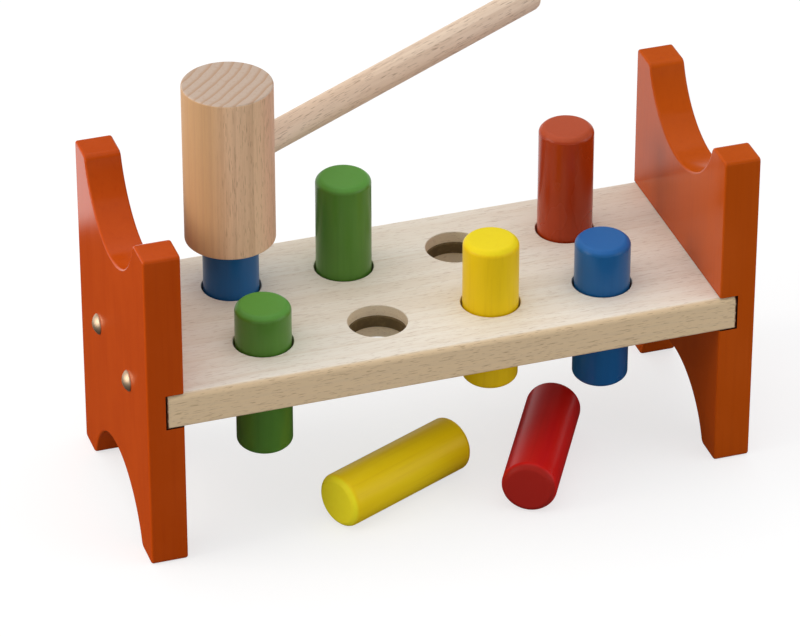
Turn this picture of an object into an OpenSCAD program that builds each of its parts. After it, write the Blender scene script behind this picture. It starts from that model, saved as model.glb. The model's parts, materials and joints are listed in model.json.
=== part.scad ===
// Peg pounding bench: a drilled board housed between two scooped end panels, with pegs and a mallet.
// The origin is on the floor under the middle of the board. X runs along the board and Z points up.
// The bench looks the same either way up, so the pegs can be driven through, and back again.

/* [Bench] */
// Length over the two end panels
bench_l = 235; // [212:1:280]
// Depth from front to back
bench_d = 92; // [84:1:120]
// Height from the feet to the tips of the horns
bench_h = 130; // [112:1:160]

/* [End panels] */
// Thickness of an end panel
panel_t = 14; // [12:0.5:18]
// Width of a horn or a foot at its tip
horn_w = 13.5; // [10:0.5:18]
// Depth of the scoop between the horns, and of the arch between the feet
scoop_depth = 24; // [16:1:30]
// Rounding of a tip's outer corner
tip_outer_r = 1.5; // [0.5:0.25:3]
// Rounding of a tip's inner corner, beside the scoop
tip_inner_r = 2.5; // [0.5:0.25:4]
// Depth of the groove that houses the end of the board
dado_depth = 7; // [5:0.5:9]
// Room above and below the board in its groove
dado_clear = 0.15; // [0.05:0.05:0.3]
// Room past the end of the board in its groove
dado_end_gap = 0.5; // [0.1:0.1:1]

/* [Board] */
// Thickness of the board
board_t = 14; // [12:0.5:18]
// Rounding of the board's long upper edges
board_upper_r = 2.5; // [0.5:0.25:4]
// Rounding of the board's long lower edges
board_lower_r = 1; // [0.5:0.25:4]

/* [Peg holes] */
// Distance between neighbouring holes of a row
hole_pitch = 44; // [38:1:48]
// Distance between the two rows
row_pitch = 41; // [36:1:46]
// Room round a peg in the board's hole
hole_clear = 0.7; // [0.3:0.1:1]
// Chamfer of a hole's two rims
rim_chamfer = 0.5; // [0.2:0.1:1]

/* [Grip rings] */
// Height of a grip ring
ring_h = 4.7; // [3:0.1:6]
// How far the ring's groove is cut into the hole's wall
groove_depth = 2; // [1:0.25:3]
// Room round a ring in its groove
groove_clear = 0.05; // [0.02:0.01:0.1]
// Room round a peg in its ring
grip_clear = 0.05; // [0.02:0.01:0.1]

/* [Pegs] */
// Diameter of a peg
peg_d = 21; // [17:0.5:25]
// Length of a peg
peg_l = 60; // [50:1:70]
// Chamfer of a peg's two ends
peg_chamfer = 1.8; // [0.5:0.1:3]

/* [Standing pegs] */
// Height of the front green peg above the board
green_front_stand = 16; // [1:1:44]
// Height of the front yellow peg above the board
yellow_front_stand = 27; // [1:1:44]
// Height of the front blue peg above the board
blue_front_stand = 19; // [1:1:44]
// Height of the back blue peg above the board
blue_back_stand = 21; // [1:1:44]
// Height of the back green peg above the board
green_back_stand = 39; // [1:1:44]
// Height of the back red peg above the board
red_back_stand = 44.5; // [1:0.5:46]

/* [Loose pegs] */
// Middle of the loose yellow peg along the bench
yellow_loose_x = -18; // [-26:1:-16]
// Middle of the loose yellow peg across the bench
yellow_loose_y = -30; // [-60:1:-28]
// Turn of the loose yellow peg from the bench's length
yellow_loose_turn = 25; // [15:1:35]
// Middle of the loose red peg along the bench
red_loose_x = 39.5; // [36:0.5:60]
// Middle of the loose red peg across the bench
red_loose_y = -30.5; // [-60:0.5:-28]
// Turn of the loose red peg from the bench's length
red_loose_turn = 61; // [50:1:80]

/* [Nails] */
// Diameter of a nail's shank
nail_d = 3; // [2:0.5:4]
// Depth of a nail in the board's end grain
nail_grip = 18; // [12:1:20]
// Length of a nail's point
nail_point = 4; // [2:0.5:6]
// Diameter of a nail's domed head
nail_head_d = 8; // [6:0.5:10]
// Height of a nail's domed head
nail_head_h = 2.3; // [1:0.1:3]
// Room round a nail's shank
nail_clear = 0.05; // [0.02:0.01:0.1]

/* [Mallet] */
// Diameter of the mallet's head
mallet_d = 34; // [28:1:40]
// Length of the mallet's head
mallet_l = 65; // [50:1:80]
// Chamfer of the head's two rims
mallet_chamfer = 0.8; // [0.2:0.1:2]
// Diameter of the handle
handle_d = 11; // [8:0.5:14]
// Length of the handle outside the head
handle_l = 155; // [120:5:200]
// Rounding of the handle's free end
handle_end_r = 2.5; // [0.5:0.5:4]
// Depth of the handle's blind socket in the head
socket_depth = 24; // [15:1:28]
// Room round the handle in its socket
socket_clear = 0.05; // [0.02:0.01:0.1]
// Direction of the handle, turned from the bench's length towards its back
handle_turn = 30; // [20:1:60]

/* [Hidden] */
$fn = 96;
// How far every cut runs past the face that it opens
overrun = 1;
// Sides of the bench as seen from the front
LEFT = "left";
RIGHT = "right";
// Rows of holes
FRONT = "front";
BACK = "back";
// Columns of holes, counted from the left
COLUMNS = [1, 2, 3, 4];
middle_column = (COLUMNS[0] + COLUMNS[len(COLUMNS) - 1]) / 2;

half_l = bench_l / 2;
half_d = bench_d / 2;
half_chord = half_d - horn_w;
scoop_r = (half_chord * half_chord + scoop_depth * scoop_depth) / (2 * scoop_depth);
scoop_drop = scoop_r - scoop_depth;

board_top = (bench_h + board_t) / 2;
board_low = board_top - board_t;
board_mid = bench_h / 2;
dado_x = half_l - panel_t + dado_depth;
board_end = dado_x - dado_end_gap;

peg_r = peg_d / 2;
hole_r = peg_r + hole_clear;
groove_r = hole_r + groove_depth;
groove_h = ring_h + 2 * groove_clear;

nail_r = nail_d / 2;
nail_head_r = nail_head_d / 2;
nail_l = half_l - board_end + nail_grip;
dome_r = (nail_head_r * nail_head_r + nail_head_h * nail_head_h) / (2 * nail_head_h);

mallet_r = mallet_d / 2;
handle_r = handle_d / 2;
mallet_low = board_top + blue_back_stand;

BEECH = "#dccab0";
MALLET_BEECH = "#cfab88";
ORANGE = "#b8410f";
GREEN = "#3c7a1e";
BLUE = "#1d5aa0";
YELLOW = "#e3c40f";
RED = "#a8321a";
RUBBER = "#3a2c17";
NICKEL = "#d8d2c8";

// A hole is its row and its column
HOLES = [for (row = [FRONT, BACK]) for (column = COLUMNS) [row, column]];
// Hole of the peg that the mallet stands on
MALLET_HOLE = [BACK, 1];

// A standing peg is its name, its hole, its height above the board and its colour
STANDING = [
    ["peg_green_front", [FRONT, 1], green_front_stand, GREEN],
    ["peg_yellow_front", [FRONT, 3], yellow_front_stand, YELLOW],
    ["peg_blue_front", [FRONT, 4], blue_front_stand, BLUE],
    ["peg_blue_back", MALLET_HOLE, blue_back_stand, BLUE],
    ["peg_green_back", [BACK, 2], green_back_stand, GREEN],
    ["peg_red_back", [BACK, 4], red_back_stand, RED],
];

// A loose peg is its name, the place of its middle on the floor, its turn and its colour
LOOSE = [
    ["peg_yellow_loose", [yellow_loose_x, yellow_loose_y], yellow_loose_turn, YELLOW],
    ["peg_red_loose", [red_loose_x, red_loose_y], red_loose_turn, RED],
];

// Place of a row of holes across the bench
function row_place(row) = row == FRONT ? -row_pitch / 2 : row_pitch / 2;

// Place of a hole's axis on the board
function hole_place(hole) = [(hole[1] - middle_column) * hole_pitch, row_place(hole[0])];

// Name of the grip ring in a hole
function ring_name(hole) = str("grip_ring_", hole[0], "_", hole[1]);

// Waste of a rounded square corner: the corner is at the origin and the piece lies towards +X and +Y
module corner_waste(r) {
    difference() {
        translate([-overrun, -overrun]) square(r + overrun);
        translate([r, r]) circle(r);
    }
}

// Waste of the corner between a tip and the scoop: the tip lies on Y = 0, the panel towards +Y
module scoop_corner_waste() {
    reach = scoop_r + tip_inner_r;
    rise = scoop_drop + tip_inner_r;
    centre = [sqrt(reach * reach - rise * rise), tip_inner_r];
    touch = [centre.x * scoop_r / reach, rise * scoop_r / reach - scoop_drop];
    difference() {
        polygon([centre, touch, [touch.x, -overrun], [centre.x, -overrun]]);
        translate(centre) circle(tip_inner_r);
    }
}

// What one end of a panel loses between and at its two tips, which lie on Y = 0
module tip_waste() {
    translate([0, -scoop_drop]) circle(scoop_r);
    for (side = [0, 1]) mirror([side, 0]) {
        scoop_corner_waste();
        translate([half_d, 0]) mirror([1, 0]) corner_waste(tip_outer_r);
    }
}

// Side view of an end panel: across the bench, and up
module panel_outline() {
    difference() {
        translate([-half_d, 0]) square([bench_d, bench_h]);
        tip_waste();
        translate([0, bench_h]) mirror([0, 1]) tip_waste();
    }
}

// Cross-section of the board: across the bench, and up
module board_outline() {
    difference() {
        translate([-half_d, board_low]) square([bench_d, board_t]);
        for (side = [0, 1]) mirror([side, 0]) {
            translate([-half_d, board_low]) corner_waste(board_lower_r);
            translate([-half_d, board_top]) mirror([0, 1]) corner_waste(board_upper_r);
        }
    }
}

// Extrudes a side view along the bench, from low to high
module along_bench(low, high) {
    translate([low, 0, 0]) rotate([90, 0, 90]) linear_extrude(high - low) children();
}

// Turns a right-hand piece into one of the given side
module on_side(side) {
    mirror([side == LEFT ? 1 : 0, 0, 0]) children();
}

// The two nails' places on a right-hand panel's outer face, pointing outwards
module at_nails() {
    for (row = [FRONT, BACK]) translate([half_l, row_place(row), board_mid]) rotate([0, 90, 0]) children();
}

// Bores of the two nails of a right-hand panel, in the panel and in the board
module nail_bores() {
    at_nails() translate([0, 0, -nail_l]) cylinder(h = nail_l + overrun, r = nail_r + nail_clear);
}

// A hole of the board with its chamfered rims and the groove of its grip ring
module hole_waste() {
    chamfer_r = hole_r + rim_chamfer;
    translate([0, 0, board_low - overrun]) cylinder(h = board_t + 2 * overrun, r = hole_r);
    translate([0, 0, board_mid - groove_h / 2]) cylinder(h = groove_h, r = groove_r);
    translate([0, 0, board_low]) cylinder(h = rim_chamfer, r1 = chamfer_r, r2 = hole_r);
    translate([0, 0, board_top - rim_chamfer]) cylinder(h = rim_chamfer, r1 = hole_r, r2 = chamfer_r);
}

module bench_board() {
    color(BEECH) difference() {
        along_bench(-board_end, board_end) board_outline();
        for (hole = HOLES) translate(hole_place(hole)) hole_waste();
        for (side = [LEFT, RIGHT]) on_side(side) nail_bores();
    }
}

module end_panel(side) {
    dado_h = board_t + 2 * dado_clear;
    color(ORANGE) on_side(side) difference() {
        along_bench(half_l - panel_t, half_l) panel_outline();
        translate([half_l - panel_t - overrun, -half_d - overrun, board_mid - dado_h / 2])
            cube([dado_depth + overrun, bench_d + 2 * overrun, dado_h]);
        nail_bores();
    }
}

// One nail along Z: its head sits on Z = 0 and its point is below
module nail() {
    translate([0, 0, nail_point - nail_l]) cylinder(h = nail_l - nail_point, r = nail_r);
    translate([0, 0, -nail_l]) cylinder(h = nail_point, r1 = 0, r2 = nail_r);
    intersection() {
        translate([0, 0, nail_head_h - dome_r]) sphere(dome_r);
        cylinder(h = nail_head_h, r = nail_head_r);
    }
}

module panel_nails(side) {
    color(NICKEL) on_side(side) at_nails() nail();
}

module grip_ring(hole) {
    color(RUBBER) translate(hole_place(hole)) translate([0, 0, board_mid - ring_h / 2]) difference() {
        cylinder(h = ring_h, r = groove_r - groove_clear);
        translate([0, 0, -overrun]) cylinder(h = ring_h + 2 * overrun, r = peg_r + grip_clear);
    }
}

// One peg along Z, standing on Z = 0
module peg() {
    flat_r = peg_r - peg_chamfer;
    shoulder = peg_l - peg_chamfer;
    rotate_extrude()
        polygon([[0, 0], [flat_r, 0], [peg_r, peg_chamfer], [peg_r, shoulder], [flat_r, peg_l], [0, peg_l]]);
}

module standing_peg(entry) {
    color(entry[3]) translate(hole_place(entry[1])) translate([0, 0, board_top + entry[2] - peg_l]) peg();
}

module loose_peg(entry) {
    color(entry[3]) translate([entry[1].x, entry[1].y, peg_r]) rotate([0, 90, entry[2]])
        translate([0, 0, -peg_l / 2]) peg();
}

// Puts a piece that lies along Z into the mallet: Z = 0 is the head's axis, and Z points out along the handle
module at_handle() {
    translate([0, 0, mallet_l / 2]) rotate([0, 90, handle_turn]) children();
}

// Puts the mallet on the peg that it stands on
module at_mallet() {
    translate(hole_place(MALLET_HOLE)) translate([0, 0, mallet_low]) children();
}

module mallet_head() {
    flat_r = mallet_r - mallet_chamfer;
    shoulder = mallet_l - mallet_chamfer;
    color(MALLET_BEECH) at_mallet() difference() {
        rotate_extrude() polygon([
            [0, 0], [flat_r, 0], [mallet_r, mallet_chamfer],
            [mallet_r, shoulder], [flat_r, mallet_l], [0, mallet_l],
        ]);
        at_handle() translate([0, 0, mallet_r - socket_depth])
            cylinder(h = socket_depth + overrun, r = handle_r + socket_clear);
    }
}

module mallet_handle() {
    free_end = mallet_r + handle_l;
    color(MALLET_BEECH) at_mallet() at_handle() rotate_extrude() difference() {
        translate([0, mallet_r - socket_depth]) square([handle_r, handle_l + socket_depth]);
        translate([handle_r, free_end]) mirror([1, 0]) mirror([0, 1]) corner_waste(handle_end_r);
    }
}

bench_board();
end_panel(LEFT);  // left_end_panel
end_panel(RIGHT);  // right_end_panel
panel_nails(LEFT);  // left_panel_nails
panel_nails(RIGHT);  // right_panel_nails
for (hole = HOLES) grip_ring(hole);
for (entry = STANDING) standing_peg(entry);
for (entry = LOOSE) loose_peg(entry);
mallet_head();
mallet_handle();
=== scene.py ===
"""Looks of the peg pounding bench.

Every piece of the bench is modelled again with softened edges, dressed in beech, paint, rubber or nickel,
and rides on its own body of the fixed frame. Lengths are in metres, and MM turns a length in millimetres
into metres. Materials work in millimetres, in which sizes of grain are easier to read.
"""

import json
import logging
import math
from collections.abc import Iterable, Sequence
from dataclasses import dataclass
from enum import Enum

import bmesh
import bpy
from bmesh.types import BMEdge, BMesh, BMVert
from mathutils import Euler, Matrix, Vector

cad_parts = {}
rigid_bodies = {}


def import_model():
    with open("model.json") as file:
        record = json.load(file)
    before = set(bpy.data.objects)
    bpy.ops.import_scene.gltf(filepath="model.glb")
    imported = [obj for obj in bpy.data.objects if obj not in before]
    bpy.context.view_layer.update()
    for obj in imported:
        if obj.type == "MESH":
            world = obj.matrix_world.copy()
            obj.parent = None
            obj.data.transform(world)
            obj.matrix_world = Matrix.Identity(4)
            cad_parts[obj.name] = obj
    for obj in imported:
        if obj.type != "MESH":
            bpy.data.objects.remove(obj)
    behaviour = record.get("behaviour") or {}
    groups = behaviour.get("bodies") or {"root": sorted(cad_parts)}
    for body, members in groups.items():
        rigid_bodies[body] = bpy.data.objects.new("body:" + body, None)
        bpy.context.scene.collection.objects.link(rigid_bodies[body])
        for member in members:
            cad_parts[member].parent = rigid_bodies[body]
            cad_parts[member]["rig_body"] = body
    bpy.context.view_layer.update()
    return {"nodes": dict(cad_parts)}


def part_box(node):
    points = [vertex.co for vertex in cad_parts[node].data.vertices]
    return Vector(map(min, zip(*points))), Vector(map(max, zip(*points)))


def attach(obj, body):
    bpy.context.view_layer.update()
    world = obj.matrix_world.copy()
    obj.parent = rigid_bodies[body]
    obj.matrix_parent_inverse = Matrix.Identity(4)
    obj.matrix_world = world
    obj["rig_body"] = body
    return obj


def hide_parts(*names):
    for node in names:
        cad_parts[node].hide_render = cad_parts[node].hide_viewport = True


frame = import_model()

log = logging.getLogger("peg_bench")

MM = 0.001
# Two points closer than this are one point
SAME_POINT = 1e-6
# Flat facets round a turned piece
TURN_STEPS = 96
# Facets of a softened edge
EASE_STEPS = 3
# Edges that turn by more than this stay crisp
CRISP_ANGLE = math.radians(40)

Colour = tuple[float, float, float, float]
Triple = tuple[float, float, float]
# Radius and height of a point of an outline
Spot = tuple[float, float]
Outline = Sequence[Spot]
Socket = bpy.types.NodeSocket
Feed = Socket | float | Sequence[float]

ALONG_BENCH: Triple = (1.0, 0.0, 0.0)
UPRIGHT: Triple = (0.0, 0.0, 1.0)
ORIGIN: Triple = (0.0, 0.0, 0.0)


class Side(Enum):
    """End of the bench, as seen from the front."""

    LEFT = -1
    RIGHT = 1


class Row(Enum):
    """Row of holes in the board, by its sign across the bench."""

    FRONT = -1
    BACK = 1


class Slot(Enum):
    """Material slots of the part."""

    BOARD = "board_beech"
    MALLET = "mallet_beech"
    PANEL = "orange_paint"
    GREEN = "green_paint"
    BLUE = "blue_paint"
    YELLOW = "yellow_paint"
    RED = "red_paint"
    RING = "grip_rubber"
    NAIL = "nail_nickel"


class Eased(Enum):
    """What a rounding softens: edges of a mesh, or corners of a flat outline."""

    EDGES = "EDGES"
    CORNERS = "VERTICES"


def tint(red: int, green: int, blue: int) -> Colour:
    """Turns a colour as a screen shows it into linear light.

    Args:
        red: Red, from 0 to 255.
        green: Green, from 0 to 255.
        blue: Blue, from 0 to 255.

    Returns:
        The linear colour, with full opacity.
    """

    def linear(level: int) -> float:
        """Undoes the screen's gamma."""
        share = level / 255
        return share / 12.92 if share <= 0.04045 else ((share + 0.055) / 1.055) ** 2.4

    return (linear(red), linear(green), linear(blue), 1.0)


# Painted shade: a dark brown for the inside of the panels' grooves, where shade falls
GROOVE_SHADE_TONE = tint(66, 22, 9)


def level_way(turn: float) -> Triple:
    """Direction of a piece that lies level, turned from the bench's length."""
    return (math.cos(turn), math.sin(turn), 0.0)


def middle_of(node: str) -> Vector:
    """Middle of a node of the frame."""
    low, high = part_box(node)
    return (low + high) / 2


@dataclass(frozen=True)
class Grain:
    """How the wood of a piece lies.

    The axis is the way that its fibres run, and the middle is the point that its pattern is measured from.
    The pith, which its growth rings go round, and half of the piece's length along the fibres are in
    millimetres. The half keeps its long default where the ends have no tone of their own.
    """

    node: str
    axis: Triple
    middle: Sequence[float] = ORIGIN
    pith: Triple = ORIGIN
    half: float = 1000.0

    def turn(self) -> Euler:
        """Turn that lays the fibres along Z."""
        return Vector(self.axis).rotation_difference(Vector(UPRIGHT)).to_euler()

    def shift(self) -> Vector:
        """Shift, in millimetres, that puts the middle at zero once it is turned."""
        return -(self.turn().to_matrix() @ Vector(self.middle)) / MM


@dataclass(frozen=True)
class Zone:
    """A part of a piece in another tone: wood of another tone on the board, and painted light and shade on
    the sides of the mallet's head.

    It begins and is full at two distances from the piece's middle, in millimetres along an axis. The axis
    is that of the wood, whose fibres run along Z. The share is how much of its colour covers the wood, and
    its dashes are so many times as strong as elsewhere.
    """

    axis: Triple
    begins: float
    full: float
    colour: Colour
    share: float
    dashes: float


@dataclass(frozen=True)
class Notch:
    """A groove whose inside is painted dark, as painted shade.

    It reaches so far from the middle along X and lies between two heights, all in millimetres.
    """

    reach: float
    low: float
    high: float
    colour: Colour


class Nodes:
    """Fills a node tree, node by node."""

    def __init__(self, tree: bpy.types.NodeTree) -> None:
        """Empties the tree.

        Args:
            tree: Tree of a material or of the world.
        """
        self.tree = tree
        self.tree.nodes.clear()

    def add(
        self, kind: str, feeds: dict[str | int, Feed] | None = None, **settings: object,
    ) -> bpy.types.Node:
        """Adds a node.

        Args:
            kind: Type of the node.
            feeds: What goes into its sockets, by name or number.
            settings: Its other properties.

        Returns:
            The new node.
        """
        node = self.tree.nodes.new(kind)
        for key, value in settings.items():
            setattr(node, key, value)
        for key, value in (feeds or {}).items():
            if isinstance(value, Socket):
                self.tree.links.new(value, node.inputs[key])
            else:
                node.inputs[key].default_value = value
        return node

    def mapped(
        self, vector: Socket, turn: Sequence[float], shift: Sequence[float], scale: Sequence[float],
    ) -> Socket:
        """Scales, turns and shifts coordinates, in that order."""
        feeds = {"Vector": vector, "Rotation": turn, "Location": shift, "Scale": scale}
        return self.add("ShaderNodeMapping", feeds).outputs[0]

    def between(
        self, value: Socket, low: float, high: float, to_low: float = 0.0, to_high: float = 1.0,
    ) -> Socket:
        """Eases a value from one range into another, without running past it."""
        feeds = {"Value": value, "From Min": low, "From Max": high, "To Min": to_low, "To Max": to_high}
        return self.add("ShaderNodeMapRange", feeds, interpolation_type="SMOOTHSTEP").outputs[0]

    def math(self, operation: str, first: Feed, second: Feed = 0.0) -> Socket:
        """Works out one sum."""
        return self.add("ShaderNodeMath", {0: first, 1: second}, operation=operation).outputs[0]

    def vector(self, operation: str, first: Feed, second: Feed = ORIGIN) -> bpy.types.Node:
        """Works out one sum of vectors."""
        return self.add("ShaderNodeVectorMath", {0: first, 1: second}, operation=operation)

    def along(self, vector: Socket, axis: Triple) -> Socket:
        """Distance along an axis."""
        return self.vector("DOT_PRODUCT", vector, axis).outputs["Value"]


class Recipe(Nodes):
    """A node material that is put together step by step, from its coordinates to its shader.

    Its coordinates are in millimetres, with the fibres of the wood along Z.
    """

    def __init__(self, name: str, grain: Grain) -> None:
        """Starts an empty material.

        Args:
            name: Name of the finish.
            grain: How the wood lies.
        """
        self.material = bpy.data.materials.new(f"{name}_{grain.node}")
        self.material.use_nodes = True
        super().__init__(self.material.node_tree)
        self.grain = grain
        coordinates = self.add("ShaderNodeTexCoord").outputs["Object"]
        self.place = self.mapped(coordinates, grain.turn(), grain.shift(), (1 / MM,) * 3)

    def stretched(self, across: float, along: float) -> Socket:
        """Coordinates in which one unit is so many millimetres across and along the fibres."""
        return self.mapped(self.place, ORIGIN, ORIGIN, (1 / across, 1 / across, 1 / along))

    def noise(self, across: float, along: float, detail: float = 2.0, roughness: float = 0.5) -> Socket:
        """Cloudy noise with patches of a given size in millimetres.

        Args:
            across: Size of a patch across the fibres.
            along: Size of a patch along the fibres.
            detail: Number of finer layers.
            roughness: Strength of the finer layers.

        Returns:
            The noise, from 0 to 1.
        """
        feeds = {
            "Vector": self.stretched(across, along), "Scale": 1.0, "Detail": detail, "Roughness": roughness,
        }
        return self.add("ShaderNodeTexNoise", feeds).outputs[0]

    def blend(self, share: Feed, first: Feed, second: Feed) -> Socket:
        """Blends a share of the second colour into the first."""
        return self.add("ShaderNodeMix", {0: share, 6: first, 7: second}, data_type="RGBA").outputs[2]

    def inside(self, zone: Zone) -> Socket:
        """Share of a zone's tone at each place."""
        return self.between(self.along(self.place, zone.axis), zone.begins, zone.full, 0.0, zone.share)

    def shade_groove(self, colour: Socket, notch: Notch) -> Socket:
        """Darkens the inside of a groove, as painted shade.

        Args:
            colour: Colour of the piece.
            notch: The groove.

        Returns:
            The colour with the groove in it.
        """
        off_middle = self.math("ABSOLUTE", self.along(self.place, ALONG_BENCH))
        within = self.math("LESS_THAN", off_middle, notch.reach)
        height = self.along(self.place, UPRIGHT)
        above = self.math("GREATER_THAN", height, notch.low)
        below = self.math("LESS_THAN", height, notch.high)
        share = self.math("MULTIPLY", within, self.math("MULTIPLY", above, below))
        return self.blend(share, colour, notch.colour)

    def rings(self, gap: float, wander: float) -> Socket:
        """Growth rings round the pith.

        Args:
            gap: Width of one ring in millimetres.
            wander: How far the rings stray from true circles, in ring widths.

        Returns:
            The place in a ring, from 0 in its early wood to 1 at its end.
        """
        pith = tuple(-offset for offset in self.grain.pith)
        slow_along = (1.0, 1.0, 0.06)
        # The texture counts so many radians to the unit
        unit = 20
        feeds = {
            "Vector": self.mapped(self.place, ORIGIN, pith, slow_along),
            "Scale": math.tau / (unit * gap),
            "Distortion": wander * math.tau,
            "Detail": 1.5,
            "Detail Scale": 1.2,
            "Detail Roughness": 0.4,
        }
        settings = {"wave_type": "RINGS", "rings_direction": "Z", "wave_profile": "SAW"}
        return self.add("ShaderNodeTexWave", feeds, **settings).outputs["Fac"]

    def flecks(self, width: float, length: float, level: float, fade: float = 0.1) -> Socket:
        """Short dashes along the fibres, as beech has.

        Args:
            width: Width of a dash in millimetres.
            length: Length of a dash.
            level: Level of the noise at which a dash begins: the higher it is, the fewer there are.
            fade: Range of levels over which it fades in.

        Returns:
            The strength of the dash, from 0 to 1.
        """
        return self.between(self.noise(2 * width, 2 * length, detail=1.0), level, level + fade)

    def ends(self, depth: float = 0.5) -> Socket:
        """End grain: 1 on the ends of the piece, and 0 from a depth in millimetres."""
        reach = self.math("ABSOLUTE", self.along(self.place, UPRIGHT))
        return self.between(reach, self.grain.half - depth, self.grain.half - 0.4 * depth)

    def surface(self, height: Socket, depth: float, strength: float, **sockets: Feed) -> bpy.types.Material:
        """Ends the material with its shader.

        Args:
            height: Relief, from 0 to 1.
            depth: Depth of the relief in metres.
            strength: Strength of the relief.
            sockets: The shader's sockets, with underscores for the spaces in their names.

        Returns:
            The finished material.
        """
        bump = self.add("ShaderNodeBump", {"Height": height, "Distance": depth, "Strength": strength})
        feeds = {name.replace("_", " "): value for name, value in sockets.items()}
        shader = self.add("ShaderNodeBsdfPrincipled", feeds | {"Normal": bump.outputs[0]})
        self.add("ShaderNodeOutputMaterial", {"Surface": shader.outputs[0]})
        return self.material


@dataclass(frozen=True)
class Beech:
    """Bare sanded beech: pale wood with growth rings, long streaks and short brown dashes.

    Sizes and gaps are in millimetres. A value that ends in show is the strength of a mark, from 0 to 1, and
    the bend is the index of refraction of the sanded face.
    """

    name: str
    pale: Colour
    warm: Colour
    late: Colour
    dash: Colour
    end: Colour
    ring_gap: float
    ring_wander: float
    ring_show: float
    end_ring_show: float
    streak_show: float
    dash_size: tuple[float, float]
    dash_show: float
    zones: tuple[Zone, ...] = ()
    roughness: float = 0.56
    bend: float = 1.42
    fibre_show: float = 0.25
    pore_depth: float = 0.06 * MM
    pore_show: float = 0.35

    def dashes(self, recipe: Recipe) -> Socket:
        """Dashes of two sizes, on the sides of the piece only.

        Args:
            recipe: Material in the making.

        Returns:
            The strength of the dashes, from 0 to 1.
        """
        width, length = self.dash_size
        fine = recipe.flecks(width, length, level=0.6)
        broad = recipe.flecks(1.5 * width, 1.6 * length, level=0.68)
        sides = recipe.math("SUBTRACT", 1.0, recipe.ends())
        return recipe.math("MULTIPLY", recipe.math("MAXIMUM", fine, broad), sides)

    def material(self, grain: Grain) -> bpy.types.Material:
        """Makes the material.

        Args:
            grain: How the wood of the piece lies.

        Returns:
            The material.
        """
        recipe = Recipe(self.name, grain)
        clouds = recipe.noise(across=22.0, along=120.0)
        streaks = recipe.noise(across=1.3, along=42.0, detail=3.0, roughness=0.6)
        fibres = recipe.noise(across=0.3, along=8.0)
        ends = recipe.ends()
        dashes = self.dashes(recipe)
        # Broad tones: patches, zones and end grain. The mallet head's zones are painted light and shade,
        # and the board's dark end grain is painted shade
        colour = recipe.blend(recipe.between(clouds, 0.3, 0.7), self.pale, self.warm)
        for zone in self.zones:
            share = recipe.inside(zone)
            colour = recipe.blend(share, colour, zone.colour)
            strength = recipe.between(share, 0.0, zone.share, 1.0, zone.dashes)
            dashes = recipe.math("MULTIPLY", dashes, strength)
        colour = recipe.blend(ends, colour, self.end)
        # Finer and finer marks: growth rings, streaks, fibres and dashes
        rings = recipe.between(recipe.rings(self.ring_gap, self.ring_wander), 0.5, 0.97)
        ring_share = recipe.between(ends, 0.0, 1.0, self.ring_show, self.end_ring_show)
        colour = recipe.blend(recipe.math("MULTIPLY", rings, ring_share), colour, self.late)
        colour = recipe.blend(recipe.between(streaks, 0.45, 0.8, 0.0, self.streak_show), colour, self.late)
        colour = recipe.blend(recipe.between(fibres, 0.5, 0.85, 0.0, self.fibre_show), colour, self.late)
        colour = recipe.blend(recipe.math("MULTIPLY", dashes, self.dash_show), colour, self.dash)
        # The dashes are open pores, and the fibres stand up a little
        relief = recipe.math("SUBTRACT", fibres, dashes)
        roughness = recipe.between(fibres, 0.2, 0.8, self.roughness - 0.05, self.roughness + 0.08)
        return recipe.surface(
            relief, self.pore_depth, self.pore_show, Base_Color=colour, Roughness=roughness, IOR=self.bend,
        )


@dataclass(frozen=True)
class Lacquer:
    """Glossy paint on wood, through which the grain still shows.

    On the ends of the piece it is duller and has a tone of its own, which reaches so many millimetres deep.
    On the pegs that tone is painted light where the ends are lighter than the sides, and painted shade
    where an end is darker.
    The bend is the paint's index of refraction.
    """

    name: str
    colour: Colour
    deep: Colour
    bright: Colour
    end: Colour
    grain_show: float
    roughness: float
    bend: float = 1.35
    end_depth: float = 2.0
    end_dullness: float = 0.12
    skin_depth: float = 0.04 * MM
    skin_show: float = 0.25

    def material(self, grain: Grain, notch: Notch | None = None) -> bpy.types.Material:
        """Makes the material.

        Args:
            grain: How the wood under the paint lies.
            notch: A groove whose inside is painted dark, as painted shade.

        Returns:
            The material.
        """
        recipe = Recipe(self.name, grain)
        clouds = recipe.noise(across=14.0, along=30.0)
        streaks = recipe.noise(across=1.6, along=42.0, detail=4.0, roughness=0.62)
        fibres = recipe.noise(across=0.6, along=18.0)
        skin = recipe.noise(across=2.2, along=3.0, detail=1.0)
        ends = recipe.ends(self.end_depth)
        # The grain shows less on the ends, where the wood drinks more paint
        grain_share = recipe.between(ends, 0.0, 1.0, self.grain_show, 0.25 * self.grain_show)
        colour = recipe.blend(recipe.between(clouds, 0.35, 0.75), self.colour, self.bright)
        # The ends' tone: painted light where it is lighter than the sides, painted shade where it is darker
        colour = recipe.blend(ends, colour, self.end)
        streak_share = recipe.math("MULTIPLY", recipe.between(streaks, 0.45, 0.78), grain_share)
        colour = recipe.blend(streak_share, colour, self.deep)
        # Painted shade inside the panels' grooves
        if notch is not None:
            colour = recipe.shade_groove(colour, notch)
        relief = recipe.math("ADD", recipe.math("MULTIPLY", fibres, grain_share), skin)
        dull = recipe.between(ends, 0.0, 1.0, 0.0, self.end_dullness)
        gloss = recipe.between(clouds, 0.25, 0.75, self.roughness - 0.03, self.roughness + 0.05)
        roughness = recipe.math("ADD", gloss, dull)
        return recipe.surface(
            relief, self.skin_depth, self.skin_show, Base_Color=colour, Roughness=roughness, IOR=self.bend,
        )


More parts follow.
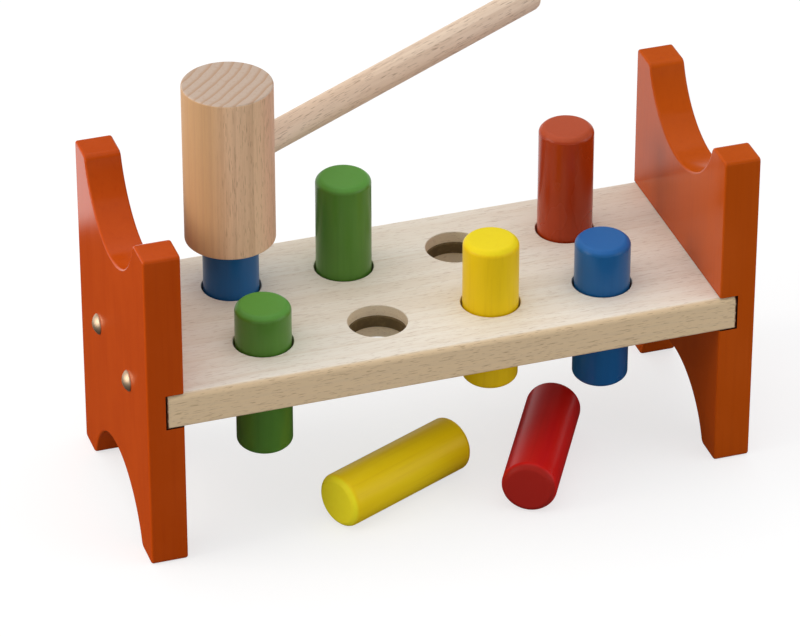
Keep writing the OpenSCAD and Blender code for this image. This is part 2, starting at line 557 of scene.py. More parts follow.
@dataclass(frozen=True)
class Rubber:
    """Dull brown rubber of the grip rings."""

    name: str
    colour: Colour
    dusty: Colour
    bend: float = 1.5
    pore_depth: float = 0.04 * MM
    pore_show: float = 0.3

    def material(self, grain: Grain) -> bpy.types.Material:
        """Makes the material.

        Args:
            grain: Where the pattern lies.

        Returns:
            The material.
        """
        recipe = Recipe(self.name, grain)
        dust = recipe.noise(across=2.4, along=2.4, detail=4.0, roughness=0.65)
        pores = recipe.noise(across=0.3, along=0.3)
        colour = recipe.blend(recipe.between(dust, 0.4, 0.8), self.colour, self.dusty)
        roughness = recipe.between(dust, 0.3, 0.7, 0.68, 0.85)
        return recipe.surface(
            pores, self.pore_depth, self.pore_show, Base_Color=colour, Roughness=roughness, IOR=self.bend,
        )


@dataclass(frozen=True)
class Nickel:
    """Plated steel of the nails, with the fine marks of the hammer."""

    name: str
    colour: Colour
    worn: Colour
    dent_depth: float = 0.12 * MM
    dent_show: float = 0.4

    def material(self, grain: Grain) -> bpy.types.Material:
        """Makes the material.

        Args:
            grain: Where the pattern lies.

        Returns:
            The material.
        """
        recipe = Recipe(self.name, grain)
        dents = recipe.noise(across=1.5, along=1.5)
        marks = recipe.noise(across=0.25, along=0.25, detail=3.0)
        colour = recipe.blend(recipe.between(marks, 0.5, 0.8), self.colour, self.worn)
        roughness = recipe.between(marks, 0.3, 0.8, 0.46, 0.6)
        return recipe.surface(
            dents, self.dent_depth, self.dent_show, Base_Color=colour, Roughness=roughness, Metallic=1.0,
        )


def ease(
    bm: BMesh, geom: Iterable[BMEdge | BMVert], width: float, what: Eased = Eased.EDGES,
) -> None:
    """Rounds edges, or the corners of a flat outline.

    Args:
        bm: Mesh in the making.
        geom: The edges or corners.
        width: Width of the rounding on each side.
        what: Whether they are edges or corners.
    """
    steps = EASE_STEPS if what is Eased.EDGES else 2 * EASE_STEPS
    bmesh.ops.bevel(
        bm, geom=list(geom), offset=width, offset_type="OFFSET", segments=steps, profile=0.5,
        affect=what.value, clamp_overlap=True, material=-1,
    )


def arc(centre: Spot, radius: float, start: float, end: float, steps: int) -> list[Spot]:
    """Points of an arc in an outline.

    Args:
        centre: Radius and height of the arc's centre.
        radius: Radius of the arc.
        start: Angle of its first point, in degrees from the outline's radius.
        end: Angle of its last point.
        steps: Number of stretches between the points.

    Returns:
        Radius and height of each point.
    """
    angles = [math.radians(start + (end - start) * step / steps) for step in range(steps + 1)]
    across, up = centre
    return [(across + radius * math.cos(angle), up + radius * math.sin(angle)) for angle in angles]


def turned(
    bm: BMesh, outline: Outline, centre: Sequence[float] = ORIGIN, closed: bool = False,
) -> None:
    """Spins an outline round an upright axis.

    Args:
        bm: Mesh in the making.
        outline: Radius and height of each point.
        centre: Place of the axis.
        closed: Whether the outline's end meets its start.
    """
    chain = [bm.verts.new((centre[0] + radius, centre[1], height)) for radius, height in outline]
    pairs = list(zip(chain, chain[1:]))
    if closed:
        pairs.append((chain[-1], chain[0]))
    edges = [bm.edges.new(pair) for pair in pairs]
    bmesh.ops.spin(
        bm, geom=chain + edges, cent=(centre[0], centre[1], 0.0), axis=UPRIGHT, angle=math.tau,
        steps=TURN_STEPS, use_merge=True, use_normal_flip=False, use_duplicate=False,
    )
    bmesh.ops.remove_doubles(bm, verts=bm.verts[:], dist=SAME_POINT)
    bmesh.ops.recalc_face_normals(bm, faces=bm.faces[:])


def ring_edges(bm: BMesh, height: float, radius: float) -> list[BMEdge]:
    """Finds the edges that go round the Z axis.

    Args:
        bm: Mesh in the making.
        height: Height of the edges.
        radius: Their distance from the axis.

    Returns:
        The edges.
    """

    def there(vert: BMVert) -> bool:
        """Tells whether a point is on that ring."""
        return abs(vert.co.z - height) < SAME_POINT and abs(vert.co.xy.length - radius) < SAME_POINT

    return [edge for edge in bm.edges if all(there(vert) for vert in edge.verts)]


def mesh_of(bm: BMesh, name: str) -> bpy.types.Mesh:
    """Makes a plain mesh.

    Args:
        bm: The mesh in the making, which is used up.
        name: Name of the new mesh.

    Returns:
        The new mesh.
    """
    mesh = bpy.data.meshes.new(name)
    bm.to_mesh(mesh)
    bm.free()
    return mesh


def shown(name: str, data: bpy.types.ID) -> bpy.types.Object:
    """Puts a new object into the scene.

    Args:
        name: Its name.
        data: Its mesh, lamp or camera.

    Returns:
        The object.
    """
    item = bpy.data.objects.new(name, data)
    bpy.context.scene.collection.objects.link(item)
    return item


def seat(bm: BMesh, node: str, coat: bpy.types.Material) -> bpy.types.Object:
    """Makes a finished mesh the piece that stands for a node of the frame.

    Args:
        bm: The finished mesh, which is used up.
        node: The node.
        coat: Its material.

    Returns:
        The piece.
    """
    bmesh.ops.remove_doubles(bm, verts=bm.verts[:], dist=SAME_POINT)
    bmesh.ops.recalc_face_normals(bm, faces=bm.faces[:])
    mesh = mesh_of(bm, f"dressed_{node}")
    mesh.shade_smooth()
    mesh.set_sharp_from_angle(angle=CRISP_ANGLE)
    mesh.materials.append(coat)
    piece = shown(mesh.name, mesh)
    shading = piece.modifiers.new("even_shading", "WEIGHTED_NORMAL")
    shading.keep_sharp = True
    body = frame["nodes"][node]["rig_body"]
    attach(piece, body)
    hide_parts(node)
    log.info("%s rides on %s, %d faces", piece.name, body, len(mesh.polygons))
    return piece


@dataclass
class EndPanel:
    """An end panel: a scoop between two horns, an arch between two feet, and a groove for the board."""

    side: Side
    paint: Lacquer
    horn_width: float = 13.5 * MM
    scoop_depth: float = 24.0 * MM
    tip_outer_round: float = 1.5 * MM
    tip_inner_round: float = 1.9 * MM
    edge_round: float = 0.9 * MM
    groove_end_gap: float = 0.5 * MM
    groove_room: float = 0.15 * MM
    # Painted shade in the groove: its tone, and the margin round it
    groove_shade_tone: Colour = GROOVE_SHADE_TONE
    shade_margin: float = 0.05 * MM
    arc_steps: int = 40

    def outline(self, bm: BMesh, inner: float, half: float, top: float) -> None:
        """Draws the side view and fills it.

        Args:
            bm: Mesh in the making.
            inner: Place of the panel's inner face along the bench.
            half: Half of its depth.
            top: Its height.
        """
        chord = half - self.horn_width
        radius = (chord**2 + self.scoop_depth**2) / (2 * self.scoop_depth)
        drop = radius - self.scoop_depth
        sweep = 2 * math.asin(chord / radius)
        outer_corners = []
        inner_corners = []
        for sign, level in ((1, top), (-1, 0.0)):
            first = bm.verts.new((inner, -sign * chord, level))
            swept = bmesh.ops.spin(
                bm, geom=[first], cent=(inner, 0.0, level + sign * drop), axis=ALONG_BENCH, angle=sweep,
                steps=self.arc_steps, use_duplicate=False,
            )
            last = next(item for item in swept["geom_last"] if isinstance(item, BMVert))
            before, after = (bm.verts.new((inner, end * sign * half, level)) for end in (-1, 1))
            bm.edges.new((before, first))
            bm.edges.new((last, after))
            outer_corners += [before, after]
            inner_corners += [first, last]
        bm.edges.new((outer_corners[1], outer_corners[2]))
        bm.edges.new((outer_corners[3], outer_corners[0]))
        bmesh.ops.edgeloop_fill(bm, edges=bm.edges[:])
        ease(bm, outer_corners, self.tip_outer_round, Eased.CORNERS)
        ease(bm, inner_corners, self.tip_inner_round, Eased.CORNERS)

    def thicken(self, bm: BMesh, thickness: float) -> None:
        """Gives the side view its thickness and eases the edges of both faces.

        Args:
            bm: Mesh in the making.
            thickness: Thickness of the panel.
        """
        raised = bmesh.ops.extrude_face_region(bm, geom=bm.faces[:])["geom"]
        points = [item for item in raised if isinstance(item, BMVert)]
        bmesh.ops.translate(bm, vec=(thickness, 0.0, 0.0), verts=points)
        rims = [edge for edge in bm.edges if abs(edge.verts[0].co.x - edge.verts[1].co.x) < SAME_POINT]
        ease(bm, rims, self.edge_round)

    def groove(self, bm: BMesh, low: float, high: float, end: float) -> None:
        """Cuts the groove into the inner face.

        Args:
            bm: Mesh in the making.
            low: Lower side of the groove.
            high: Upper side of the groove.
            end: Bottom of the groove, along the bench.
        """
        for level in (low, high):
            everything = bm.verts[:] + bm.edges[:] + bm.faces[:]
            bmesh.ops.bisect_plane(bm, geom=everything, plane_co=(0.0, 0.0, level), plane_no=UPRIGHT)
        band = [face for face in bm.faces if low < face.calc_center_median().z < high]
        sides = list({edge for face in band for edge in face.edges})
        points = list({vert for face in band for vert in face.verts})
        strip = points + sides + band
        bmesh.ops.bisect_plane(bm, geom=strip, plane_co=(end, 0.0, 0.0), plane_no=ALONG_BENCH)
        waste = [
            face for face in bm.faces
            if low < face.calc_center_median().z < high and face.calc_center_median().x < end
        ]
        bmesh.ops.delete(bm, geom=waste, context="FACES")
        uprights = [
            edge for edge in bm.edges
            if edge.is_boundary and all(abs(vert.co.x - end) < SAME_POINT for vert in edge.verts)
        ]
        bmesh.ops.contextual_create(bm, geom=uprights)
        bmesh.ops.holes_fill(bm, edges=[edge for edge in bm.edges if edge.is_boundary], sides=0)

    def painted_groove_shade(self, low: float, high: float, end: float) -> Notch:
        """Place of the painted shade in the groove, with a hair's breadth round it."""
        room = self.shade_margin
        return Notch((end + room) / MM, (low - room) / MM, (high + room) / MM, self.groove_shade_tone)

    def build(self) -> None:
        """Builds the panel as a right one, mirrors it for the left side, and seats it."""
        node = f"{self.side.name.lower()}_end_panel"
        low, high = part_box("right_end_panel")
        board_low, board_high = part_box("bench_board")
        groove_low = board_low.z - self.groove_room
        groove_high = board_high.z + self.groove_room
        groove_end = board_high.x + self.groove_end_gap
        bm = bmesh.new()
        self.outline(bm, low.x, high.y, high.z)
        self.thicken(bm, high.x - low.x)
        self.groove(bm, groove_low, groove_high, groove_end)
        bmesh.ops.scale(bm, vec=(float(self.side.value), 1.0, 1.0), verts=bm.verts[:])
        # The inside of the groove is painted dark, as painted shade
        painted_shade = self.painted_groove_shade(groove_low, groove_high, groove_end)
        seat(bm, node, self.paint.material(Grain(node, UPRIGHT), painted_shade))


@dataclass
class Board:
    """The board: rounded long edges, and eight holes with a grip ring in the groove of each."""

    wood: Beech
    rubber: Rubber
    upper_round: float = 2.5 * MM
    lower_round: float = 1.0 * MM
    hole_room: float = 0.7 * MM
    upper_rim: float = 0.35 * MM
    lower_rim: float = 0.2 * MM
    end_gap: float = 0.15 * MM
    ring_room: float = 0.05 * MM
    lip_round: float = 0.5 * MM
    round_steps: int = 6
    columns: tuple[int, ...] = (1, 2, 3, 4)
    pith: Triple = (95.0, 12.0, 0.0)

    def ring_nodes(self) -> list[str]:
        """Names of the grip rings."""
        return [f"grip_ring_{row.name.lower()}_{column}" for row in Row for column in self.columns]

    def peg_radius(self) -> float:
        """Radius of the pegs that the holes are made for."""
        low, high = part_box("peg_green_front")
        return (high.x - low.x) / 2

    def quarter(self, bm: BMesh, start: BMVert, centre: Sequence[float], sign: int) -> BMVert:
        """Sweeps a point through a quarter turn about the bench's length.

        Args:
            bm: Mesh in the making.
            start: The point.
            centre: Centre of the turn.
            sign: Which side of the board it is, across the bench.

        Returns:
            The last point.
        """
        swept = bmesh.ops.spin(
            bm, geom=[start], cent=centre, axis=ALONG_BENCH, angle=-sign * math.pi / 2,
            steps=self.round_steps, use_duplicate=False,
        )
        return next(item for item in swept["geom_last"] if isinstance(item, BMVert))

    def long_edge(self, bm: BMesh, sign: int, low: Vector, high: Vector) -> None:
        """Draws a long side of the board, from its upper face to its lower one.

        Args:
            bm: Mesh in the making.
            sign: Which side it is, across the bench.
            low: Lowest corner of the board.
            high: Highest corner of the board.
        """
        brow = sign * (high.y - self.upper_round)
        first = bm.verts.new((low.x, brow, high.z))
        shoulder = self.quarter(bm, first, (low.x, brow, high.z - self.upper_round), sign)
        foot = bm.verts.new((low.x, sign * high.y, low.z + self.lower_round))
        bm.edges.new((shoulder, foot))
        self.quarter(bm, foot, (low.x, sign * (high.y - self.lower_round), low.z + self.lower_round), sign)
        fresh = [edge for edge in bm.edges if edge.is_wire]
        drawn = bmesh.ops.extrude_edge_only(bm, edges=fresh)["geom"]
        points = [item for item in drawn if isinstance(item, BMVert)]
        bmesh.ops.translate(bm, vec=(high.x - low.x, 0.0, 0.0), verts=points)

    def hole(self, bm: BMesh, ring: str, low: float, high: float) -> None:
        """Turns the wall of one hole, with its rounded rims and the groove of its ring.

        Args:
            bm: Mesh in the making.
            ring: Node of the ring in the hole.
            low: Lower face of the board.
            high: Upper face of the board.
        """
        ring_low, ring_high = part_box(ring)
        radius = self.peg_radius() + self.hole_room
        groove = (ring_high.x - ring_low.x) / 2 + self.ring_room
        rim = self.upper_rim
        foot = self.lower_rim
        outline = [
            *arc((radius + rim, high - rim), rim, 90, 180, self.round_steps),
            (radius, ring_high.z + self.ring_room),
            (groove, ring_high.z + self.ring_room),
            (groove, ring_low.z - self.ring_room),
            (radius, ring_low.z - self.ring_room),
            *arc((radius + foot, low + foot), foot, 180, 270, self.round_steps),
        ]
        turned(bm, outline, middle_of(ring))

    def flat_face(self, bm: BMesh, level: float, inset: float, low: Vector, high: Vector) -> None:
        """Fills an upper or lower face round its holes.

        Args:
            bm: Mesh in the making.
            level: Height of the face.
            inset: Width of the rounding beside it.
            low: Lowest corner of the board.
            high: Highest corner of the board.
        """
        for end in (low.x, high.x):
            corners = []
            for row in Row:
                spot = Vector((end, row.value * (high.y - inset), level))
                corners.append(next(vert for vert in bm.verts if (vert.co - spot).length < SAME_POINT))
            bm.edges.new(corners)
        open_edges = [
            edge for edge in bm.edges
            if len(edge.link_faces) < 2 and all(abs(vert.co.z - level) < SAME_POINT for vert in edge.verts)
        ]
        bmesh.ops.triangle_fill(bm, use_beauty=True, use_dissolve=False, edges=open_edges, normal=UPRIGHT)

    def build_board(self) -> None:
        """Builds the board and seats it."""
        low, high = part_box("bench_board")
        low.x += self.end_gap
        high.x -= self.end_gap
        bm = bmesh.new()
        for row in Row:
            self.long_edge(bm, row.value, low, high)
        for ring in self.ring_nodes():
            self.hole(bm, ring, low.z, high.z)
        self.flat_face(bm, high.z, self.upper_round, low, high)
        self.flat_face(bm, low.z, self.lower_round, low, high)
        bmesh.ops.holes_fill(bm, edges=[edge for edge in bm.edges if edge.is_boundary], sides=0)
        grain = Grain("bench_board", ALONG_BENCH, middle_of("bench_board"), self.pith, high.x / MM)
        seat(bm, "bench_board", self.wood.material(grain))

    def build_rings(self) -> None:
        """Builds the grip rings with soft lips, and seats them."""
        coat = self.rubber.material(Grain("grip_rings", UPRIGHT))
        inner = self.peg_radius() + self.ring_room
        for node in self.ring_nodes():
            low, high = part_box(node)
            outer = (high.x - low.x) / 2
            bm = bmesh.new()
            turned(bm, [(inner, low.z), (outer, low.z), (outer, high.z), (inner, high.z)], closed=True)
            ease(bm, ring_edges(bm, low.z, inner) + ring_edges(bm, high.z, inner), self.lip_round)
            middle = middle_of(node)
            bmesh.ops.translate(bm, vec=(middle.x, middle.y, 0.0), verts=bm.verts[:])
            seat(bm, node, coat)

    def build(self) -> None:
        """Builds the board and its rings."""
        self.build_board()
        self.build_rings()


@dataclass
class PanelNails:
    """The two nails that hold an end panel to the board."""

    side: Side
    metal: Nickel
    shank: float = 1.5 * MM
    head: float = 4.0 * MM
    head_height: float = 2.3 * MM
    head_edge: float = 0.35 * MM
    point: float = 4.0 * MM
    dome_steps: int = 8

    def outline(self, length: float) -> list[Spot]:
        """Outline of a nail, from the top of its head to its point.

        Args:
            length: Length of the shank.

        Returns:
            Radius and height of each point, with the seat of the head at zero.
        """
        rise = self.head_height - self.head_edge
        dome = (self.head**2 + rise**2) / (2 * rise)
        rim_angle = math.degrees(math.acos(self.head / dome))
        return [
            *arc((0.0, self.head_height - dome), dome, 90, rim_angle, self.dome_steps),
            (self.head, 0.0),
            (self.shank, 0.0),
            (self.shank, self.point - length),
            (0.0, -length),
        ]

    def build(self) -> None:
        """Builds both nails as one piece and seats it."""
        node = f"{self.side.name.lower()}_panel_nails"
        low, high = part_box(node)
        face = self.side.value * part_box("right_end_panel")[1].x
        length = (high.x - low.x) - self.head_height
        bm = bmesh.new()
        for row in Row:
            nail = bmesh.new()
            turned(nail, self.outline(length))
            ease(nail, ring_edges(nail, self.head_edge, self.head), self.head_edge / 2)
            outwards = Matrix.Rotation(self.side.value * math.pi / 2, 4, "Y")
            place = Matrix.Translation((face, row.value * (high.y - self.head), (low.z + high.z) / 2))
            bmesh.ops.transform(nail, matrix=place @ outwards, verts=nail.verts[:])
            mesh = mesh_of(nail, "nail")
            bm.from_mesh(mesh)
            bpy.data.meshes.remove(mesh)
        seat(bm, node, self.metal.material(Grain(node, UPRIGHT)))


@dataclass
class Peg:
    """A painted peg with chamfered ends, standing in its hole or, when it is turned, lying on the floor."""

    node: str
    slot: Slot
    paint: Lacquer
    turn: float | None = None
    radius: float = 10.5 * MM
    length: float = 60.0 * MM
    chamfer: float = 1.8 * MM
    crease_round: float = 0.8 * MM

    def middle(self) -> Vector:
        """Middle of the peg."""
        middle = middle_of(self.node)
        return middle if self.turn is None else Vector((middle.x, middle.y, self.radius))

    def outline(self) -> list[Spot]:
        """Outline of the peg, from one end to the other.

        Returns:
            Radius and height of each point, with the middle of the peg at zero.
        """
        half = self.length / 2
        flat = self.radius - self.chamfer
        shoulder = half - self.chamfer
        upper = [(self.radius, shoulder), (flat, half), (flat / 2, half), (0.0, half)]
        lower = [(radius, -height) for radius, height in reversed(upper)]
        return [*lower, (self.radius, 0.0), *upper]

    def build(self) -> None:
        """Builds the peg and seats it."""
        bm = bmesh.new()
        turned(bm, self.outline())
        rings = [ring_edges(bm, height, radius) for radius, height in self.outline()]
        creases = [edge for ring in rings for edge in ring if edge.calc_face_angle() > CRISP_ANGLE / 2]
        ease(bm, creases, self.crease_round)
        place = Matrix.Translation(self.middle())
        axis = UPRIGHT
        if self.turn is not None:
            axis = level_way(self.turn)
            place @= Matrix.Rotation(self.turn, 4, "Z") @ Matrix.Rotation(math.pi / 2, 4, "Y")
        bmesh.ops.transform(bm, matrix=place, verts=bm.verts[:])
        grain = Grain(self.node, axis, self.middle(), half=self.length / 2 / MM)
        seat(bm, self.node, self.paint.material(grain))


@dataclass
class Mallet:
    """The mallet: a plain turned head with a blind socket in its side, and a dowel in the socket."""

    head_wood: Beech
    handle_wood: Beech
    turn: float = math.radians(30)
    rim_round: float = 0.7 * MM
    handle_radius: float = 5.5 * MM
    handle_length: float = 154.95 * MM
    handle_end_round: float = 2.5 * MM
    socket_depth: float = 24.0 * MM
    socket_room: float = 0.05 * MM
    head_pith: Triple = (-61.0, 59.0, 0.0)
    handle_pith: Triple = (14.0, 20.0, 0.0)

    def along_handle(self) -> Matrix:
        """Matrix that lays a piece that is turned along Z into the mallet, with zero on the head's axis."""
        lay = Matrix.Rotation(self.turn, 4, "Z") @ Matrix.Rotation(math.pi / 2, 4, "Y")
        return Matrix.Translation(middle_of("mallet_head")) @ lay

    def head_radius(self) -> float:
        """Radius of the head."""
        low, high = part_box("mallet_head")
        return (high.x - low.x) / 2

    def bore_socket(self, piece: bpy.types.Object) -> None:
        """Bores the socket of the handle into the head.

        Args:
            piece: The head.
        """
        radius = self.handle_radius + self.socket_room
        bottom = self.head_radius() - self.socket_depth
        beyond = 2 * self.head_radius()
        bm = bmesh.new()
        turned(bm, [(0.0, bottom), (radius, bottom), (radius, beyond), (0.0, beyond)])
        bmesh.ops.transform(bm, matrix=self.along_handle(), verts=bm.verts[:])
        bit = shown("socket_bit", mesh_of(bm, "socket_bit"))
        bore = piece.modifiers.new("socket", "BOOLEAN")
        bore.operation = "DIFFERENCE"
        bore.solver = "EXACT"
        bore.object = bit
        depsgraph = bpy.context.evaluated_depsgraph_get()
        shaped = bpy.data.meshes.new_from_object(piece.evaluated_get(depsgraph))
        piece.modifiers.remove(bore)
        spares = (piece.data, bit.data)
        piece.data = shaped
        bpy.data.objects.remove(bit)
        for spare in spares:
            bpy.data.meshes.remove(spare)

    def build_head(self) -> None:
        """Builds the head and seats it."""
        low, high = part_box("mallet_head")
        radius = self.head_radius()
        middle = middle_of("mallet_head")
        outline = [
            (0.0, low.z), (radius / 2, low.z), (radius, low.z), (radius, middle.z), (radius, high.z),
            (radius / 2, high.z), (0.0, high.z),
        ]
        bm = bmesh.new()
        turned(bm, outline)
        ease(bm, ring_edges(bm, low.z, radius) + ring_edges(bm, high.z, radius), self.rim_round)
        bmesh.ops.translate(bm, vec=(middle.x, middle.y, 0.0), verts=bm.verts[:])
        grain = Grain("mallet_head", UPRIGHT, middle, self.head_pith, (high.z - middle.z) / MM)
        self.bore_socket(seat(bm, "mallet_head", self.head_wood.material(grain)))

    def build_handle(self) -> None:
        """Builds the handle and seats it."""
        start = self.head_radius() - self.socket_depth
        end = self.head_radius() + self.handle_length
        half = (end - start) / 2
        outline = [
            (0.0, start), (self.handle_radius, start), (self.handle_radius, start + half),
            (self.handle_radius, end), (0.0, end),
        ]
        bm = bmesh.new()
        turned(bm, outline)
        ease(bm, ring_edges(bm, end, self.handle_radius), self.handle_end_round)
        bmesh.ops.transform(bm, matrix=self.along_handle(), verts=bm.verts[:])
        middle = self.along_handle() @ Vector((0.0, 0.0, start + half))
        grain = Grain("mallet_handle", level_way(self.turn), middle, self.handle_pith, half / MM)
        seat(bm, "mallet_handle", self.handle_wood.material(grain))

    def build(self) -> None:
        """Builds the head and the handle."""
        self.build_head()
        self.build_handle()


@dataclass(frozen=True)
class Softbox:
    """A square soft lamp that points at the bench."""

    name: str
    place: Triple
    size: float
    watts: float
    colour: Triple = (1.0, 1.0, 1.0)
    aim: Triple = (0.0, 0.0, 0.06)

    def set_up(self) -> None:
        """Makes the lamp."""
        lamp = bpy.data.lights.new(self.name, "AREA")
        lamp.shape = "SQUARE"
        lamp.size = self.size
        lamp.energy = self.watts
        lamp.color = self.colour
        holder = shown(self.name, lamp)
        holder.location = self.place
        holder.rotation_euler = (Vector(self.aim) - Vector(self.place)).to_track_quat("-Z", "Y").to_euler()
        holder.visible_camera = False


@dataclass
class Studio:
    """A plain pale floor, soft lamps, and a camera at the angle from which the bench is shown.

    The floor's bounce is its tone for the light that it sends up to the bench. Its shade and its glow make
    it white where nothing shades it. The ceiling is a share of the walls' white.
    """

    lamps: tuple[Softbox, ...] = (
        Softbox("top_softbox", place=(-0.15, 0.2, 1.25), size=2.0, watts=9.8),
        Softbox("left_softbox", place=(-1.25, 0.08, 0.45), size=0.8, watts=10.0, colour=(1.0, 0.9, 0.8)),
        Softbox("front_softbox", place=(0.95, -0.65, 0.42), size=0.8, watts=2.4),
    )
    ambient: float = 0.48
    ceiling: float = 0.25
    ceiling_edge: tuple[float, float] = (0.1, 0.45)
    floor_size: float = 6.0
    floor_bounce: float = 0.5
    floor_shade: float = 0.38
    floor_tone: Triple = (0.96, 0.98, 1.0)
    floor_glow: float = 0.67
    glow_near: float = 0.35
    glow_far: float = 1.1
    gloss_edge: tuple[float, float] = (0.164, 0.180)
    gloss_slant: float = 0.17
    gloss_dim: float = 0.97
    camera_place: Triple = (-0.5035, -1.5062, 1.0489)
    camera_pitch: float = math.radians(32.0)
    camera_yaw: float = math.radians(-18.26)
    camera_lens: float = 225.0

    @staticmethod
    def seen_directly(nodes: Nodes, path: bpy.types.Node) -> Socket:
        """Share of a ray that comes from the camera, a reflection or a see-through surface.

        Args:
            nodes: Nodes of the floor or the world.
            path: Their light path node.

        Returns:
            1 for such a ray, and 0 for one that only lights the bench.
        """
        total = path.outputs["Is Camera Ray"]
        for name in ("Is Glossy Ray", "Is Transmission Ray"):
            total = nodes.math("MAXIMUM", total, path.outputs[name])
        return total

    def floor_material(self) -> bpy.types.Material:
        """Makes the floor's material.

        It keeps the shadow and is white where nothing shades it. Reflections show it bright only past an
        edge some way behind the bench.

        Returns:
            The material.
        """
        material = bpy.data.materials.new("pale_floor")
        material.use_nodes = True
        nodes = Nodes(material.node_tree)
        path = nodes.add("ShaderNodeLightPath")
        seen = self.seen_directly(nodes, path)
        place = nodes.add("ShaderNodeTexCoord").outputs["Object"]
        reach = nodes.vector("LENGTH", place).outputs["Value"]
        behind = nodes.along(place, (self.gloss_slant, 1.0, 0.0))
        dim = nodes.between(behind, *self.gloss_edge, self.gloss_dim, 0.0)
        level = nodes.math("SUBTRACT", 1.0, nodes.math("MULTIPLY", dim, path.outputs["Is Glossy Ray"]))
        tone = nodes.between(seen, 0.0, 1.0, self.floor_bounce, self.floor_shade)
        grey = nodes.math("MULTIPLY", tone, level)
        cool = nodes.vector("MULTIPLY", grey, self.floor_tone).outputs[0]
        shade = nodes.add("ShaderNodeBsdfDiffuse", {"Color": cool})
        spread = nodes.between(reach, self.glow_near, self.glow_far, self.floor_glow, 1.0)
        strength = nodes.math("MULTIPLY", nodes.math("MULTIPLY", spread, seen), level)
        glow = nodes.add("ShaderNodeEmission", {"Strength": strength})
        total = nodes.add("ShaderNodeAddShader", {0: shade.outputs[0], 1: glow.outputs[0]})
        nodes.add("ShaderNodeOutputMaterial", {"Surface": total.outputs[0]})
        return material

    def floor(self) -> None:
        """Lays the floor."""
        bm = bmesh.new()
        bmesh.ops.create_grid(bm, x_segments=8, y_segments=8, size=self.floor_size / 2)
        mesh = mesh_of(bm, "floor")
        mesh.materials.append(self.floor_material())
        floor = shown("floor", mesh)

    def world(self) -> None:
        """Makes the surroundings: white all round, grey overhead, and only a soft light on the bench."""
        world = bpy.data.worlds.new("white_room")
        world.use_nodes = True
        nodes = Nodes(world.node_tree)
        seen = self.seen_directly(nodes, nodes.add("ShaderNodeLightPath"))
        height = nodes.along(nodes.add("ShaderNodeTexCoord").outputs["Generated"], UPRIGHT)
        walls = nodes.math("MULTIPLY", seen, nodes.between(height, *self.ceiling_edge, 1.0, self.ceiling))
        dull = nodes.between(seen, 0.0, 1.0, self.ambient, 0.0)
        white = {"Color": (1.0, 1.0, 1.0, 1.0), "Strength": nodes.math("ADD", walls, dull)}
        background = nodes.add("ShaderNodeBackground", white)
        nodes.add("ShaderNodeOutputWorld", {"Surface": background.outputs[0]})
        bpy.context.scene.world = world

    def camera(self) -> None:
        """Sets the camera."""
        lens = bpy.data.cameras.new("camera")
        lens.lens = self.camera_lens
        holder = shown("camera", lens)
        holder.location = self.camera_place
        holder.rotation_euler = (math.pi / 2 - self.camera_pitch, 0.0, self.camera_yaw)
        bpy.context.scene.camera = holder

    def set_up(self) -> None:
        """Sets up the floor, the lamps, the surroundings and the camera."""
        self.floor()
        self.world()
        for lamp in self.lamps:
            lamp.set_up()
        self.camera()
        bpy.context.scene.view_settings.view_transform = "Standard"


EDGE_TONE = tint(234, 205, 164)
# The board's ends, seen only through the gaps in the panels' grooves, are a dark maroon brown, as painted
# shade for those gaps
BOARD_BEECH = Beech(
    "board_beech", pale=tint(246, 239, 226), warm=tint(242, 232, 216), late=tint(216, 192, 162),
    dash=tint(168, 134, 98), end=tint(112, 60, 38), ring_gap=3.2, ring_wander=0.5, ring_show=0.15,
    end_ring_show=0.5, streak_show=0.26, dash_size=(0.18, 2.0), dash_show=0.32,
    zones=(
        Zone((1.0, 0.0, 0.0), begins=-6.9, full=-6.3, colour=tint(236, 218, 186), share=0.8, dashes=1.0),
        Zone((0.0, -1.0, 0.0), begins=44.0, full=45.6, colour=EDGE_TONE, share=0.9, dashes=1.8),
        Zone((0.0, 1.0, 0.0), begins=44.0, full=45.6, colour=EDGE_TONE, share=0.9, dashes=1.8),
    ),
)
MALLET_BEECH = Beech(
    "mallet_beech", pale=tint(236, 200, 164), warm=tint(231, 193, 155), late=tint(180, 140, 108),
    dash=tint(132, 94, 66), end=tint(196, 175, 158), ring_gap=3.7, ring_wander=0.22, ring_show=0.25,
    end_ring_show=0.7, streak_show=0.36, dash_size=(0.17, 2.3), dash_show=0.4,
    # On the head, the left side is painted a darker gold, as painted shade, and the right side a pinker
    # tone, as painted warm light
    zones=(
        Zone((-1.0, 0.0, 0.0), begins=2.0, full=13.0, colour=tint(192, 152, 106), share=0.9, dashes=0.1),
        Zone((1.0, 0.0, 0.0), begins=5.0, full=14.0, colour=tint(225, 178, 149), share=0.9, dashes=1.0),
    ),
)
HANDLE_BEECH = Beech(
    "handle_beech", pale=tint(238, 216, 194), warm=tint(233, 207, 182), late=tint(196, 160, 131),
    dash=tint(136, 100, 72), end=tint(205, 180, 155), ring_gap=3.0, ring_wander=0.4, ring_show=0.25,
    end_ring_show=0.5, streak_show=0.36, dash_size=(0.18, 2.4), dash_show=0.5,
)
# The two panels' paints are copies of one orange: the right one is more orange, as painted light for the
# sheen on its faces
LEFT_PANEL_PAINT = Lacquer(
    "orange_paint", colour=tint(187, 72, 11), deep=tint(170, 60, 8), bright=tint(191, 75, 13),
    end=tint(187, 72, 11), grain_show=0.28, roughness=0.16, bend=1.2,
)
RIGHT_PANEL_PAINT = Lacquer(
    "light_orange_paint", colour=tint(188, 79, 12), deep=tint(171, 66, 9), bright=tint(192, 82, 14),
    end=tint(188, 79, 12), grain_show=0.28, roughness=0.16, bend=1.18,
)
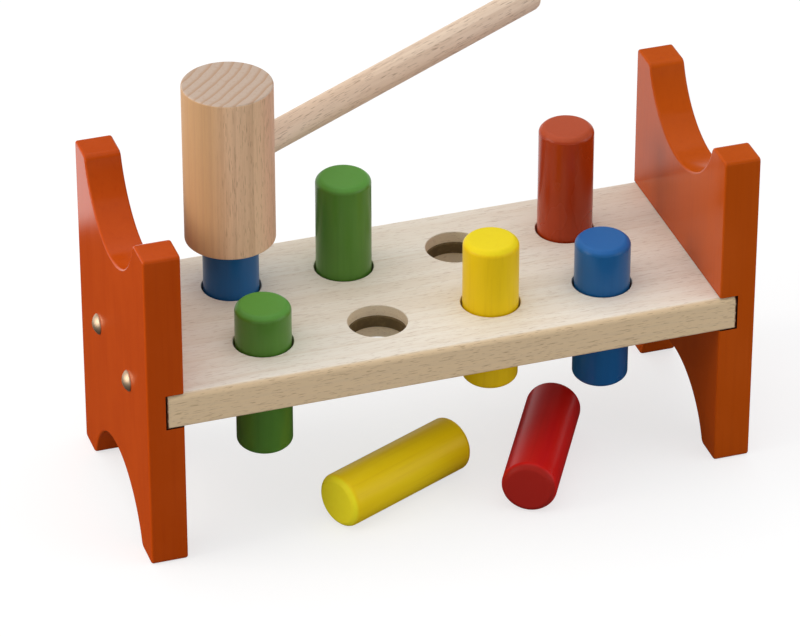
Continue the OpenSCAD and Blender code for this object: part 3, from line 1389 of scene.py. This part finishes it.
# The pegs' end tones are painted light: lighter than their sides, with painted sheen on the red one
GREEN_PAINT = Lacquer(
    "green_paint", colour=tint(82, 129, 46), deep=tint(68, 108, 34), bright=tint(85, 134, 49),
    end=tint(91, 153, 59), grain_show=0.25, roughness=0.3,
)
BLUE_PAINT = Lacquer(
    "blue_paint", colour=tint(21, 91, 150), deep=tint(16, 75, 128), bright=tint(25, 96, 156),
    end=tint(31, 101, 171), grain_show=0.25, roughness=0.3,
)
YELLOW_PAINT = Lacquer(
    "yellow_paint", colour=tint(239, 202, 14), deep=tint(220, 178, 12), bright=tint(242, 207, 18),
    end=tint(243, 220, 24), grain_show=0.38, roughness=0.36, bend=1.26,
)
# A brighter copy of the yellow paint for the loose peg: painted light, for the shade that it lies in
LIT_YELLOW_PAINT = Lacquer(
    "pale_yellow_paint", colour=tint(249, 215, 18), deep=tint(232, 192, 15), bright=tint(251, 219, 22),
    end=tint(253, 240, 40), grain_show=0.38, roughness=0.36, bend=1.26,
)
RED_PAINT = Lacquer(
    "red_paint", colour=tint(168, 55, 13), deep=tint(148, 43, 10), bright=tint(172, 58, 15),
    end=tint(183, 75, 37), grain_show=0.3, roughness=0.26,
)
# The loose red peg's darker end is painted shade
DEEP_RED_PAINT = Lacquer(
    "deep_red_paint", colour=tint(209, 26, 23), deep=tint(186, 18, 18), bright=tint(213, 29, 25),
    end=tint(170, 34, 25), grain_show=0.25, roughness=0.3, bend=1.24,
)
RING_RUBBER = Rubber("grip_rubber", colour=tint(98, 80, 46), dusty=tint(122, 102, 66))
# The nails' warm tint is a painted reflection of the orange panels on the nickel
NAIL_NICKEL = Nickel("nail_nickel", colour=tint(206, 184, 158), worn=tint(166, 140, 114))


def main() -> None:
    """Builds the bench's pieces, then the studio, and reports each piece."""
    logging.basicConfig(level=logging.INFO, format="%(name)s: %(message)s")
    Board(BOARD_BEECH, RING_RUBBER).build()
    for side, paint in ((Side.LEFT, LEFT_PANEL_PAINT), (Side.RIGHT, RIGHT_PANEL_PAINT)):
        EndPanel(side, paint).build()
        PanelNails(side, NAIL_NICKEL).build()
    pegs = (
        Peg("peg_green_front", Slot.GREEN, GREEN_PAINT),
        Peg("peg_yellow_front", Slot.YELLOW, YELLOW_PAINT),
        Peg("peg_blue_front", Slot.BLUE, BLUE_PAINT),
        Peg("peg_blue_back", Slot.BLUE, BLUE_PAINT),
        Peg("peg_green_back", Slot.GREEN, GREEN_PAINT),
        Peg("peg_red_back", Slot.RED, RED_PAINT),
        Peg("peg_yellow_loose", Slot.YELLOW, LIT_YELLOW_PAINT, turn=math.radians(25)),
        Peg("peg_red_loose", Slot.RED, DEEP_RED_PAINT, turn=math.radians(61)),
    )
    for peg in pegs:
        peg.build()
    Mallet(MALLET_BEECH, HANDLE_BEECH).build()
    Studio().set_up()


if __name__ == "__main__":
    main()
